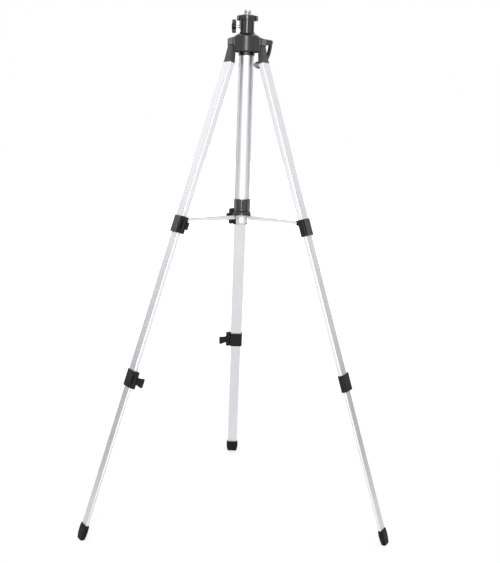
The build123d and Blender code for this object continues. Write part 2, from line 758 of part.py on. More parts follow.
def make_foot():
    """Rubber boot on the lower tube, before its sole is cut level with the floor."""
    top = leg_reach - foot_length
    toe = leg_reach + foot_toe_depth
    boot = loft([
        Pos(0, 0, -toe) * RectangleRounded(foot_toe_depth, foot_toe_width, foot_toe_corner),
        Pos(0, 0, foot_belly - leg_reach) * section(lower_tube, foot_belly_wall),
        Pos(0, 0, -top) * section(lower_tube, foot_wall),
    ])
    return boot - along_leg(section(lower_tube, seat_fit), top - over, leg_reach - foot_sole)


def make_leg(name, azimuth):
    """All pieces of one leg by node name, placed."""
    middle_top = upper_tube_end - tube_overlap
    lower_top = middle_tube_end - tube_overlap
    pieces = {
        "leg_fitting": make_fitting(),
        "upper_tube": make_tube(upper_tube, fitting_drop, upper_tube_end),
        "upper_clamp": make_clamp(upper_tube, middle_tube, upper_clamp_drop),
        "upper_knob": make_knob(upper_tube, upper_clamp_drop, upper_knob_length),
        "middle_tube": make_tube(middle_tube, middle_top, middle_tube_end),
        "middle_bush": make_bush(upper_tube, middle_tube, middle_top),
        "lower_clamp": make_clamp(middle_tube, lower_tube, lower_clamp_drop),
        "lower_knob": make_knob(middle_tube, lower_clamp_drop, lower_knob_length),
        "lower_tube": make_tube(lower_tube, lower_top, leg_reach - foot_sole),
        "lower_bush": make_bush(middle_tube, lower_tube, lower_top),
        "foot": make_foot(),
        "strut_strips": make_strut_strips(),
    }
    placed = {name + "_" + node: leg_place(azimuth) * piece for node, piece in pieces.items()}
    below = Box(4 * leg_reach, 4 * leg_reach, leg_reach, align=(Align.CENTER, Align.CENTER, Align.MAX))
    placed[name + "_foot"] -= below
    placed[name + "_strut_bar"] = Rot(0, 0, azimuth) * make_strut_bar()
    return placed


nodes = {
    "crown": make_crown(),
    "crown_base_ring": make_base_ring(),
    "center_tube": make_center_tube(),
    "tube_end_bush": make_end_bush(),
    "neck_collar": make_neck(),
    "leg_hinge_bolts": on_legs(make_hinge_bolt()),
    "inner_column": make_column(),
    "elevator_rack": make_rack(),
    "column_end_plug": make_end_plug(),
    "platform": make_platform(),
    "mounting_stud": make_stud(),
    "head_lock_screw": make_lock_screw(),
    "head_lock_wing": make_lock_wing(),
    "crank_shaft": make_shaft(),
    "elevator_pinion": make_pinion(),
    "crank_arm": make_crank_arm(),
    "crank_screw": make_crank_screw(),
    "crank_grip": make_crank_grip(),
    "hub_collar": make_hub_collar(),
    "spreader_ring": make_spreader_ring(),
    "strut_hub_pins": on_legs(make_hub_pin()),
}
for leg_name, leg_azimuth in leg_azimuths.items():
    nodes.update(make_leg(leg_name, leg_azimuth))

os.makedirs("parts", exist_ok=True)
to_seat = Pos(0, 0, -seat_height)
for node_name, piece in nodes.items():
    solids = piece if isinstance(piece, list) else [piece]
    placed = Compound(children=[solid for whole in solids for solid in (to_seat * whole).solids()])
    export_step(placed, f"parts/{node_name}.step")
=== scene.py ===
"""Looks of a laser level tripod: finishes, small fastener detail, studio and camera."""

from __future__ import annotations

import logging
import math
from dataclasses import dataclass, field
from enum import Enum

import bmesh
import bpy
from mathutils import Euler, Matrix, Quaternion, Vector

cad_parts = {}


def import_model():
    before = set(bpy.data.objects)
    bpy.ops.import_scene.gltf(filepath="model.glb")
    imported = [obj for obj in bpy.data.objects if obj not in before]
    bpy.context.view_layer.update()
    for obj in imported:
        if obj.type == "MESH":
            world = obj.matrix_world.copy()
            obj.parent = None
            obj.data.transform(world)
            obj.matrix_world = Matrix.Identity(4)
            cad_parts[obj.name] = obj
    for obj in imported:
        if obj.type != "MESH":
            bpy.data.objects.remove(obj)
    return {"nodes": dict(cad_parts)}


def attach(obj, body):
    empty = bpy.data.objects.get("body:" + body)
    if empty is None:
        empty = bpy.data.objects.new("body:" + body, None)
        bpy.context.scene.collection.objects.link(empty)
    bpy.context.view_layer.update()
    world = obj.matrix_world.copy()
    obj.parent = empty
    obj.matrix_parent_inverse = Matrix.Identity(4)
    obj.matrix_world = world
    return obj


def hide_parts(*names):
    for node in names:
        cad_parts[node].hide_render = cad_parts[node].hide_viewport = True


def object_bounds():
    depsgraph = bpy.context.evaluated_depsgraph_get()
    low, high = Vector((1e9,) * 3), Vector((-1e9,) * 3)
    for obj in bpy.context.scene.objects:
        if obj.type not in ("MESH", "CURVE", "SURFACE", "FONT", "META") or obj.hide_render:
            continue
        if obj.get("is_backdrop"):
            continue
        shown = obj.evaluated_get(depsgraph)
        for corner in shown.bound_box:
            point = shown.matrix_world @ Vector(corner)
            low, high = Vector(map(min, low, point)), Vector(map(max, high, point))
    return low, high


LOG = logging.getLogger("tripod")
MM = 0.001
LEG_AZIMUTHS = {"front_left": 210.0, "front_right": -30.0, "rear": 90.0}
SMOOTH_ANGLE = math.radians(38)  # faces that meet at less are shaded as one
FLAT_ANGLE = math.radians(0.4)  # triangles that meet at less are one face
WELD_REACH = 2e-6  # metres between corners of a CAD node that are one
SEAM_REACH = 1e-6  # metres between corners of a new piece that are one
POLE_REACH = 1e-7  # metres between corners on a turned shape's axis that are one
TEXTURE_LOW, TEXTURE_HIGH = 0.3, 0.7  # most of a texture's values lie between these


class Texture(Enum):
    """Textures that a surface pattern can come from."""

    NOISE = "TexNoise"
    CELLS = "TexVoronoi"


class Slot(Enum):
    """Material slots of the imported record."""

    GLOSS_BLACK = "gloss_black_plastic"
    SATIN_BLACK = "satin_black_plastic"
    DARK_GREY = "dark_grey_plastic"
    NATURAL = "natural_plastic"
    ANODISED = "anodised_tube"
    STRIP = "bare_strip"
    ZINC = "zinc_steel"
    BLACK_STEEL = "black_steel"
    RUBBER = "black_rubber"


class Edge(Enum):
    """Widths of eased edges in millimetres."""

    NONE = 0.0
    TOOTH = 0.1
    LEG_TUBE = 0.15
    CUT_METAL = 0.2
    SCREW = 0.25
    TRIM = 0.3
    TURNED = 0.4
    MOULDED = 0.5
    GRIPPED = 0.6
    RUBBER = 0.8


def facing(place: tuple[float, float, float], aim: tuple[float, float, float],
           front: str) -> Quaternion:
    """Gives the turn that faces a point.

    Args:
        place: where the thing stands.
        aim: point that it faces.
        front: axis of the thing that points there.

    Returns:
        The turn, with Y up.
    """
    return (Vector(aim) - Vector(place)).to_track_quat(front, "Y")


def linear(code: str) -> tuple[float, float, float, float]:
    """Turns an sRGB hex colour into linear RGBA.

    Args:
        code: colour such as "#1A1B1C".

    Returns:
        Red, green, blue and an alpha of 1, linear.
    """
    shares = [int(code[place:place + 2], 16) / 255 for place in (1, 3, 5)]
    red, green, blue = (
        share / 12.92 if share <= 0.04045 else ((share + 0.055) / 1.055) ** 2.4 for share in shares)
    return red, green, blue, 1.0


def add(tree: bpy.types.NodeTree, kind: str, settings: dict | None = None,
        links: dict | None = None) -> bpy.types.Node:
    """Adds one node with its settings and links.

    Args:
        tree: node tree that gets the node.
        kind: full type name of the node.
        settings: values by property name, or by input name or number.
        links: output sockets by the name or number of the input that they feed.

    Returns:
        The new node.
    """
    made = tree.nodes.new(kind)
    for key, value in (settings or {}).items():
        if isinstance(key, str) and key in made.bl_rna.properties:
            setattr(made, key, value)
        else:
            made.inputs[key].default_value = value
    for key, socket in (links or {}).items():
        tree.links.new(socket, made.inputs[key])
    return made


def carry_on(tree: bpy.types.NodeTree, target: bpy.types.NodeSocket,
             entry: bpy.types.NodeSocket, result: bpy.types.NodeSocket) -> None:
    """Puts a node between a shader's input and what fed it so far.

    Args:
        tree: node tree.
        target: the shader's input.
        entry: input of the new node that takes what fed the target.
        result: output of the new node.
    """
    if target.links:
        tree.links.new(target.links[0].from_socket, entry)
    else:
        entry.default_value = target.default_value
    tree.links.new(result, target)


def seen(tree: bpy.types.NodeTree) -> bpy.types.NodeSocket:
    """Gives 1 for what the camera sees, straight, mirrored or through glass, and 0 for other light.

    Args:
        tree: node tree that gets the nodes.

    Returns:
        The socket with that share.
    """
    path = add(tree, "ShaderNodeLightPath").outputs
    mirrored = add(tree, "ShaderNodeMath", {"operation": "MAXIMUM"},
                   {0: path["Is Camera Ray"], 1: path["Is Glossy Ray"]})
    through = add(tree, "ShaderNodeMath", {"operation": "MAXIMUM"},
                  {0: mirrored.outputs[0], 1: path["Is Transmission Ray"]})
    return through.outputs[0]


@dataclass(frozen=True)
class Pattern:
    """A surface pattern and what it does.

    Attributes:
        texture: texture that it comes from.
        size: real size of a feature in millimetres along X, Y and Z of the piece.
        roughness: most that it adds to or takes from the roughness.
        tone: most that it lightens or darkens the colour, as a share.
        relief: height of its relief in millimetres.
        depth: octaves of fine structure in the texture.
    """

    texture: Texture
    size: tuple[float, float, float]
    roughness: float = 0.0
    tone: float = 0.0
    relief: float = 0.0
    depth: float = 2.0


@dataclass(frozen=True)
class Finish:
    """A finish: one real material with the surface that its making left.

    Attributes:
        name: name of the material.
        colour: sRGB hex colour.
        roughness: middle roughness.
        slot: record slot that the finish belongs to; not used.
        metallic: 1 for bare metal.
        specular: strength of the plain reflection.
        coat: share of a clear layer.
        coat_roughness: roughness of that layer.
        patterns: surface patterns, largest first.
    """

    name: str
    colour: str
    roughness: float
    slot: Slot
    metallic: float = 0.0
    specular: float = 0.5
    coat: float = 0.0
    coat_roughness: float = 0.1
    patterns: tuple[Pattern, ...] = ()

    def make(self, turn: Euler | None = None, suffix: str = "") -> bpy.types.Material:
        """Builds the material.

        Args:
            turn: attitude of the piece that the patterns follow.
            suffix: ending of the name, where a piece has its own attitude.

        Returns:
            The material.
        """
        material = bpy.data.materials.new(self.name + suffix)
        material.use_nodes = True
        tree = material.node_tree
        shader = tree.nodes["Principled BSDF"]
        values = {
            "Base Color": linear(self.colour), "Roughness": self.roughness,
            "Metallic": self.metallic, "Specular IOR Level": self.specular,
            "Coat Weight": self.coat, "Coat Roughness": self.coat_roughness,
        }
        for name, value in values.items():
            shader.inputs[name].default_value = value
        place = add(tree, "ShaderNodeTexCoord").outputs["Object"]
        for pattern in self.patterns:
            self.lay(tree, shader, place, pattern, turn or Euler())
        return material

    @staticmethod
    def lay(tree: bpy.types.NodeTree, shader: bpy.types.Node, place: bpy.types.NodeSocket,
            pattern: Pattern, turn: Euler) -> None:
        """Lays one pattern over what the shader already has.

        Args:
            tree: the material's node tree.
            shader: the material's shader.
            place: socket of the coordinates.
            pattern: the pattern.
            turn: attitude of the piece.
        """
        size = [length * MM for length in pattern.size]
        where = add(tree, "ShaderNodeMapping",
                    {"vector_type": "TEXTURE", "Rotation": turn, "Scale": size}, {"Vector": place})
        fine = {"Detail": pattern.depth} if pattern.texture is Texture.NOISE else {}
        texture = add(tree, "ShaderNode" + pattern.texture.value, {"Scale": 1.0, **fine},
                      {"Vector": where.outputs["Vector"]}).outputs[0]
        centred = add(tree, "ShaderNodeMapRange",
                      {"From Min": TEXTURE_LOW, "From Max": TEXTURE_HIGH, "To Min": -1.0,
                       "To Max": 1.0}, {"Value": texture}).outputs["Result"]
        if pattern.roughness:
            rough = add(tree, "ShaderNodeMath",
                        {"operation": "MULTIPLY_ADD", 1: pattern.roughness}, {0: centred})
            carry_on(tree, shader.inputs["Roughness"], rough.inputs[2], rough.outputs[0])
        if pattern.tone:
            value = add(tree, "ShaderNodeMath",
                        {"operation": "MULTIPLY_ADD", 1: pattern.tone, 2: 1.0}, {0: centred})
            toned = add(tree, "ShaderNodeHueSaturation", links={"Value": value.outputs[0]})
            carry_on(tree, shader.inputs["Base Color"],
                     toned.inputs["Color"], toned.outputs["Color"])
        if pattern.relief:
            bump = add(tree, "ShaderNodeBump",
                       {"Distance": pattern.relief * MM}, {"Height": texture})
            carry_on(tree, shader.inputs["Normal"], bump.inputs["Normal"], bump.outputs["Normal"])


# Drawn aluminium tube, clear anodised: a pale satin metal with faint lines along the tube. The real
# die lines are under 0.3 mm apart, and are drawn coarser so that they show.
ANODISED_TUBE = Finish(
    "drawn_clear_anodised_aluminium", "#DCDDE0", 0.47, Slot.ANODISED, metallic=1.0,
    patterns=(
        Pattern(Texture.NOISE, (60, 60, 140), roughness=0.04, tone=0.02),
        Pattern(Texture.NOISE, (1.6, 1.6, 180), roughness=0.05, tone=0.02, relief=0.01, depth=1.0),
    ),
)
# Pressed aluminium strip, left bare: a greyer metal than the tubes, with the mill's short lines.
BARE_STRIP = Finish(
    "pressed_bare_aluminium", "#D6D8DA", 0.36, Slot.STRIP, metallic=1.0,
    patterns=(
        Pattern(Texture.NOISE, (25, 25, 25), roughness=0.08, tone=0.02),
        Pattern(Texture.NOISE, (18, 1.2, 1.2), roughness=0.06, relief=0.01, depth=1.0),
    ),
)
# ABS moulded in a polished tool: deep black with a sharp gloss, slightly wavy where it sank.
GLOSS_ABS = Finish(
    "polished_moulded_black_abs", "#060607", 0.16, Slot.GLOSS_BLACK, specular=0.4, coat=0.7,
    patterns=(
        Pattern(Texture.NOISE, (28, 28, 28), roughness=0.05, relief=0.03, depth=1.0),
        Pattern(Texture.NOISE, (1.8, 1.8, 1.8), roughness=0.04, tone=0.2, depth=4.0),
    ),
)
# The same ABS from a vapour-blasted tool: black with a soft broad sheen and hardly any grain.
SHEEN_ABS = Finish(
    "vapour_blasted_moulded_black_abs", "#08080A", 0.32, Slot.GLOSS_BLACK, specular=0.6, coat=0.25,
    coat_roughness=0.18,
    patterns=(
        Pattern(Texture.NOISE, (20, 20, 20), roughness=0.05, relief=0.02, depth=1.0),
        Pattern(Texture.NOISE, (0.6, 0.6, 0.6), roughness=0.03, tone=0.15, relief=0.008, depth=3.0),
    ),
)
# Nylon moulded in a spark-eroded tool: satin black with a fine grain, drawn at about 0.7 mm.
SATIN_NYLON = Finish(
    "satin_moulded_black_nylon", "#0B0B0C", 0.36, Slot.SATIN_BLACK, specular=0.25,
    patterns=(
        Pattern(Texture.NOISE, (22, 22, 22), roughness=0.07, tone=0.15),
        Pattern(Texture.NOISE, (0.7, 0.7, 0.7), roughness=0.05, relief=0.03, depth=3.0),
    ),
)
# Glass-filled nylon: dark grey and dull, with the fibres' mottle and a coarser spark grain.
FILLED_NYLON = Finish(
    "textured_glass_filled_grey_nylon", "#343538", 0.5, Slot.DARK_GREY,
    patterns=(
        Pattern(Texture.NOISE, (9, 9, 9), roughness=0.06, tone=0.12, depth=4.0),
        Pattern(Texture.CELLS, (0.9, 0.9, 0.9), relief=0.06, tone=0.06),
    ),
)
# Acetal left in its natural colour: off-white, waxy and smooth.
NATURAL_ACETAL = Finish(
    "natural_moulded_acetal", "#DCDBD3", 0.38, Slot.NATURAL,
    patterns=(
        Pattern(Texture.NOISE, (12, 12, 12), roughness=0.05, tone=0.03),
        Pattern(Texture.NOISE, (0.8, 0.8, 0.8), relief=0.015),
    ),
)
# Turned steel with a zinc plate: a cool bright grey with patches of duller passivation.
ZINC_STEEL = Finish(
    "turned_zinc_plated_steel", "#C9CBCE", 0.28, Slot.ZINC, metallic=1.0,
    patterns=(
        Pattern(Texture.NOISE, (5, 5, 5), roughness=0.09, tone=0.05, depth=3.0),
        Pattern(Texture.NOISE, (6, 6, 0.4), roughness=0.04, relief=0.008, depth=1.0),
    ),
)
# Turned steel under stoved black enamel: black with a soft gloss, hardly seen in the crown.
BLACK_STEEL = Finish(
    "stove_enamelled_black_steel", "#0D0D0F", 0.32, Slot.BLACK_STEEL, specular=0.6, coat=0.25,
    coat_roughness=0.18,
    patterns=(
        Pattern(Texture.NOISE, (4, 4, 4), roughness=0.1, tone=0.15, depth=3.0),
        Pattern(Texture.NOISE, (0.5, 0.5, 0.5), roughness=0.04, relief=0.006, depth=2.0),
    ),
)
# Moulded rubber: black and dull, with a bloom of paler dust and a fine pebble.
BLACK_RUBBER = Finish(
    "moulded_black_rubber", "#101011", 0.62, Slot.RUBBER, specular=0.2,
    patterns=(
        Pattern(Texture.NOISE, (14, 14, 14), roughness=0.08, tone=0.25, depth=4.0),
        Pattern(Texture.NOISE, (0.9, 0.9, 0.9), relief=0.05, depth=3.0),
    ),
)


@dataclass
class Workshop:
    """What every sub-assembly works with.

    Attributes:
        nodes: CAD node objects by name.
        made: finished materials by name.
        smooth: node group that shades by angle.
    """

    nodes: dict[str, bpy.types.Object]
    made: dict[str, bpy.types.Material] = field(default_factory=dict)
    smooth: bpy.types.NodeTree | None = None

    def material(self, finish: Finish, turn: Euler | None = None,
                 suffix: str = "") -> bpy.types.Material:
        """Gives a finish's material, made once for each attitude.

        Args:
            finish: the finish.
            turn: attitude of the piece that the patterns follow.
            suffix: ending of the material's name for that attitude.

        Returns:
            The material.
        """
        name = finish.name + suffix
        if name not in self.made:
            self.made[name] = finish.make(turn, suffix)
        return self.made[name]

    def dress(self, node: str, finish: Finish, edge: Edge, turn: Euler | None = None,
              suffix: str = "") -> None:
        """Gives a CAD node its finish and eases its edges.

        Args:
            node: name of the CAD node.
            finish: the finish.
            edge: width of the eased edges.
            turn: attitude of the piece that the patterns follow.
            suffix: ending of the material's name for that attitude.
        """
        piece = self.nodes[node]
        piece.data.materials.clear()
        piece.data.materials.append(self.material(finish, turn, suffix))
        weld = piece.modifiers.new("joined_faces", "WELD")
        weld.merge_threshold = WELD_REACH
        flat = piece.modifiers.new("whole_faces", "DECIMATE")
        flat.decimate_type = "DISSOLVE"
        flat.angle_limit = FLAT_ANGLE
        if edge is not Edge.NONE:
            bevel = piece.modifiers.new("eased_edges", "BEVEL")
            bevel.width = edge.value * MM
            bevel.segments = 2
            bevel.limit_method = "ANGLE"
            bevel.angle_limit = SMOOTH_ANGLE
            bevel.use_clamp_overlap = True
        piece.modifiers.new("smooth_by_angle", "NODES").node_group = self.shading()
        even = piece.modifiers.new("flat_faces_lead", "WEIGHTED_NORMAL")
        even.keep_sharp = True
        LOG.info("dressed %s in %s", node, finish.name)

    def shading(self) -> bpy.types.NodeTree:
        """Gives the node group that shades faces smooth up to an angle.

        Returns:
            The geometry node group.
        """
        if self.smooth is None:
            group = bpy.data.node_groups.new("smooth_by_angle", "GeometryNodeTree")
            for side in ("INPUT", "OUTPUT"):
                group.interface.new_socket(
                    "Geometry", in_out=side, socket_type="NodeSocketGeometry")
            start = add(group, "NodeGroupInput")
            clean = add(group, "GeometryNodeRemoveAttribute", {"Name": "custom_normal"},
                        {"Geometry": start.outputs[0]})
            angle = add(group, "GeometryNodeInputMeshEdgeAngle")
            gentle = add(group, "FunctionNodeCompare",
                         {"operation": "LESS_THAN", 1: SMOOTH_ANGLE}, {0: angle.outputs[0]})
            faces = add(group, "GeometryNodeSetShadeSmooth", {"domain": "FACE"},
                        {"Geometry": clean.outputs[0]})
            edges = add(group, "GeometryNodeSetShadeSmooth", {"domain": "EDGE"},
                        {"Geometry": faces.outputs[0], "Shade Smooth": gentle.outputs[0]})
            add(group, "NodeGroupOutput", links={0: edges.outputs[0]})
            self.smooth = group
        return self.smooth

    def piece(self, name: str, mesh: bmesh.types.BMesh, body: str, finish: Finish,
              stands_for: str) -> None:
        """Makes an object of a finished bmesh.

        Args:
            name: name of the piece.
            mesh: the bmesh, in place and in metres; it is freed.
            body: CAD body that the piece rides on.
            finish: its finish.
            stands_for: CAD node that it replaces.
        """
        bmesh.ops.remove_doubles(mesh, verts=mesh.verts, dist=SEAM_REACH)
        bmesh.ops.recalc_face_normals(mesh, faces=mesh.faces)
        data = bpy.data.meshes.new(name)
        mesh.to_mesh(data)
        mesh.free()
        data.materials.append(self.material(finish))
        made = bpy.data.objects.new(name, data)
        bpy.context.scene.collection.objects.link(made)
        made.modifiers.new("smooth_by_angle", "NODES").node_group = self.shading()
        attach(made, body)
        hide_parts(stands_for)
        LOG.info("made %s: %d faces", name, len(data.polygons))


def lathe(mesh: bmesh.types.BMesh, profile: list[tuple[float, float]], steps: int = 48) -> None:
    """Turns a profile about Z.

    Args:
        mesh: bmesh that gets the shape.
        profile: radius and height of its corners in millimetres, in order.
        steps: facets round the axis.
    """
    corners = [mesh.verts.new((radius * MM, 0.0, height * MM)) for radius, height in profile]
    edges = [mesh.edges.new(pair) for pair in zip(corners, corners[1:])]
    bmesh.ops.spin(mesh, geom=corners + edges, axis=(0, 0, 1), angle=math.tau, steps=steps,
                   use_merge=True)
    bmesh.ops.remove_doubles(mesh, verts=mesh.verts, dist=POLE_REACH)


def repeat(mesh: bmesh.types.BMesh, places: list[Matrix]) -> None:
    """Puts a copy of the whole mesh at each place, instead of where it was made.

    Args:
        mesh: bmesh with one item, made at the origin.
        places: where the items go.
    """
    item = [*mesh.verts, *mesh.edges, *mesh.faces]
    for place in places:
        copy = bmesh.ops.duplicate(mesh, geom=item)["geom"]
        verts = [part for part in copy if isinstance(part, bmesh.types.BMVert)]
        bmesh.ops.transform(mesh, matrix=place, verts=verts)
    bmesh.ops.delete(mesh, geom=item, context="VERTS")


def across_legs(radius: float, height: float) -> list[Matrix]:
    """Gives places at every leg where Z lies across the leg, against its tangent.

    Args:
        radius: distance from the tripod's axis in millimetres.
        height: height above the seat in millimetres.

    Returns:
        One place for each leg.
    """
    point = (Matrix.Translation((radius * MM, 0, height * MM))
             @ Matrix.Rotation(math.pi / 2, 4, "X"))
    return [Matrix.Rotation(math.radians(azimuth), 4, "Z") @ point
            for azimuth in LEG_AZIMUTHS.values()]


@dataclass(frozen=True)
class Stud:
    """Threaded 5/8 inch stud on the platform.

    Attributes:
        radius: outer radius of the thread in millimetres.
        root: root radius of the thread.
        pitch: pitch of 11 threads to the inch.
        height: height above the seat.
        foot: height of its foot, in the seat's recess.
        land: height where its plain foot ends.
        neck: height where the root of the thread is reached.
        shank: radius of the shank in the platform.
        shank_end: height of the shank's lower end.
        taper: height of the tapered tip.
        taper_in: how far the tip draws in.
        start: height where the thread starts.
        stop: where the thread ends, below the top.
        runout: height over which the thread runs out.
        crest: shares of the pitch between which the thread is at its full radius.
        bite: how deep the thread's ridge sits in the root.
        steps: facets in a turn.
    """

    radius: float = 15.875 / 2
    root: float = 6.75
    pitch: float = 25.4 / 11
    height: float = 12.0
    foot: float = -1.0
    land: float = -0.2
    neck: float = 0.4
    shank: float = 6.0
    shank_end: float = -8.0
    taper: float = 1.2
    taper_in: float = 1.0
    start: float = 0.3
    stop: float = 0.8
    runout: float = 1.2
    crest: tuple[float, float] = (0.44, 0.56)
    bite: float = 0.1
    steps: int = 48

    def build(self, shop: Workshop) -> None:
        """Makes the stud with its thread.

        Args:
            shop: the workshop.
        """
        mesh = bmesh.new()
        top = self.height
        lathe(mesh, [
            (0, self.shank_end), (self.shank, self.shank_end), (self.shank, self.foot),
            (self.radius, self.foot), (self.radius, self.land),
            (self.root, self.neck), (self.root, top - self.taper),
            (self.root - self.taper_in, top), (0, top),
        ], self.steps)
        self.thread(mesh)
        shop.piece("threaded_stud", mesh, "column", ZINC_STEEL, "mounting_stud")

    def thread(self, mesh: bmesh.types.BMesh) -> None:
        """Winds the thread's ridge round the stud, running out at both ends.

        Args:
            mesh: bmesh that gets the thread.
        """
        core = set(mesh.verts)
        low, high = self.start, self.height - self.stop
        turns = (high - low - self.pitch) / self.pitch
        count = round(turns * self.steps)
        base = self.root - self.bite
        ridge = [(base, 0.0), *((self.radius, share) for share in self.crest), (base, 1.0)]
        corners = [mesh.verts.new((radius * MM, 0, (low + share * self.pitch) * MM))
                   for radius, share in ridge]
        face = mesh.faces.new(corners)
        rise = turns * self.pitch * MM / count
        bmesh.ops.spin(mesh, geom=[*corners, *face.edges, face], axis=(0, 0, 1),
                       dvec=(0, 0, rise), angle=turns * math.tau, steps=count)
        for vert in set(mesh.verts) - core:
            height, reach = vert.co.z / MM, vert.co.xy.length / MM
            run = max(0.0, min(1.0, (height - low) / self.runout, (high - height) / self.runout))
            share = (base + (reach - base) * run) / reach
            bmesh.ops.scale(mesh, vec=(share, share, 1.0), verts=[vert])


@dataclass(frozen=True)
class SocketScrew:
    """Screw with a hexagon socket in its round head.

    Attributes:
        shank: radius of the shank in millimetres.
        tip: end of the shank along the screw's axis.
        seat: underside of the head along the axis.
        head: radius of the head.
        height: height of the head.
        socket: radius of the socket's corners.
        ease: bevel of the head's rim.
        mouth: radius of the socket's mouth, as a share of its corners' radius.
        lead: depth of the socket's countersink.
        depth: depth of the socket, as a share of the head's height.
    """

    shank: float
    tip: float
    seat: float
    head: float
    height: float
    socket: float
    ease: float
    mouth: float = 1.15
    lead: float = 0.3
    depth: float = 0.55

    def build(self, shop: Workshop, name: str, body: str, finish: Finish, place: Matrix,
              node: str) -> None:
        """Makes the screw.

        Args:
            shop: the workshop.
            name: name of the piece.
            body: CAD body that it rides on.
            finish: its finish.
            place: where the screw sits, its head along Z.
            node: CAD node that it replaces.
        """
        mesh = bmesh.new()
        top = self.seat + self.height
        lathe(mesh, [
            (0, self.tip), (self.shank, self.tip), (self.shank, self.seat), (self.head, self.seat),
            (self.head, top - self.ease), (self.head - self.ease, top),
            (self.socket * self.mouth, top),
        ])
        mouth = [edge for edge in mesh.edges if edge.is_boundary]
        sunk = bmesh.ops.create_circle(
            mesh, segments=6, radius=self.socket * MM,
            matrix=Matrix.Translation((0, 0, (top - self.lead) * MM)))["verts"]
        hexagon = list({edge for vert in sunk for edge in vert.link_edges})
        bmesh.ops.bridge_loops(mesh, edges=mouth + hexagon)
        wall = bmesh.ops.extrude_edge_only(mesh, edges=hexagon)["geom"]
        verts = [part for part in wall if isinstance(part, bmesh.types.BMVert)]
        bmesh.ops.translate(mesh, vec=(0, 0, -self.height * self.depth * MM), verts=verts)
        rim = [part for part in wall if isinstance(part, bmesh.types.BMEdge)]
        bmesh.ops.edgeloop_fill(mesh, edges=rim)
        repeat(mesh, [place])
        shop.piece(name, mesh, body, finish, node)


@dataclass(frozen=True)
class Rivet:
    """Rivet across a strut's fork, with a domed head on each side.

    Attributes:
        shank: radius of the shank in millimetres.
        half: half the length between the heads.
        head: radius of the heads.
        dome: height of the heads.
        curve: rise of a head as shares of its radius and height, from the rim to the top.
        steps: facets round the axis.
    """

    shank: float = 1.8
    half: float = 3.3
    head: float = 3.0
    dome: float = 0.9
    curve: tuple[tuple[float, float], ...] = (
        (1.0, 0.0), (0.93, 0.4), (0.7, 0.75), (0.35, 0.95), (0.0, 1.0))
    steps: int = 32

    def build(self, shop: Workshop, places: list[Matrix]) -> None:
        """Makes the rivets of the hub.

        Args:
            shop: the workshop.
            places: where they sit, each along Z.
        """
        mesh = bmesh.new()
        upper = [(self.head * out, self.half + self.dome * up) for out, up in self.curve]
        lower = [(out, -up) for out, up in reversed(upper)]
        shank = [(self.shank, -self.half), (self.shank, self.half)]
        lathe(mesh, [*lower, *shank, *upper], self.steps)
        repeat(mesh, places)
        shop.piece("domed_hub_rivets", mesh, "hub", ZINC_STEEL, "strut_hub_pins")


@dataclass
class Head:
    """Crown, neck, centre tube, hinge bolts and the head lock."""

    def dress(self, shop: Workshop) -> None:
        """Gives the pieces of the head their finishes.

        Args:
            shop: the workshop.
        """
        shop.dress("crown", SHEEN_ABS, Edge.MOULDED)
        shop.dress("crown_base_ring", SHEEN_ABS, Edge.TURNED)
        shop.dress("neck_collar", GLOSS_ABS, Edge.TURNED)
        shop.dress("head_lock_wing", SATIN_NYLON, Edge.MOULDED)
        shop.dress("head_lock_screw", ZINC_STEEL, Edge.SCREW)
        shop.dress("center_tube", ANODISED_TUBE, Edge.CUT_METAL)
        shop.dress("tube_end_bush", NATURAL_ACETAL, Edge.TRIM)
        shop.dress("leg_hinge_bolts", BLACK_STEEL, Edge.CUT_METAL)


@dataclass
class Column:
    """Geared column with its platform and stud.

    Attributes:
        stud: form of the stud.
    """

    stud: Stud = Stud()

    def dress(self, shop: Workshop) -> None:
        """Gives the pieces of the column their finishes and makes the stud.

        Args:
            shop: the workshop.
        """
        shop.dress("inner_column", ANODISED_TUBE, Edge.CUT_METAL)
        shop.dress("elevator_rack", NATURAL_ACETAL, Edge.TOOTH)
        shop.dress("column_end_plug", NATURAL_ACETAL, Edge.TRIM)
        shop.dress("platform", GLOSS_ABS, Edge.MOULDED)
        self.stud.build(shop)


@dataclass
class Crank:
    """Crank with its shaft, pinion, screw and grip.

    Attributes:
        azimuth: direction of its shaft in degrees.
        offset: shaft from the tripod's axis in millimetres.
        height: shaft above the seat.
        screw: form of the screw on the shaft's end.
    """

    azimuth: float = 30.0
    offset: float = 17.0
    height: float = -59.8
    screw: SocketScrew = SocketScrew(
        shank=1.5, tip=49.3, seat=58.0, head=4.2, height=2.1, socket=2.0, ease=0.8)

    def dress(self, shop: Workshop) -> None:
        """Gives the pieces of the crank their finishes and makes its screw.

        Args:
            shop: the workshop.
        """
        shop.dress("crank_arm", GLOSS_ABS, Edge.MOULDED)
        shop.dress("crank_grip", SATIN_NYLON, Edge.GRIPPED)
        shop.dress("crank_shaft", ZINC_STEEL, Edge.CUT_METAL)
        shop.dress("elevator_pinion", NATURAL_ACETAL, Edge.NONE)
        place = (Matrix.Rotation(math.radians(self.azimuth), 4, "Z")
                 @ Matrix.Translation((0, -self.offset * MM, self.height * MM))
                 @ Matrix.Rotation(math.pi / 2, 4, "Y"))
        self.screw.build(shop, "socket_crank_screw", "crank", ZINC_STEEL, place, "crank_screw")


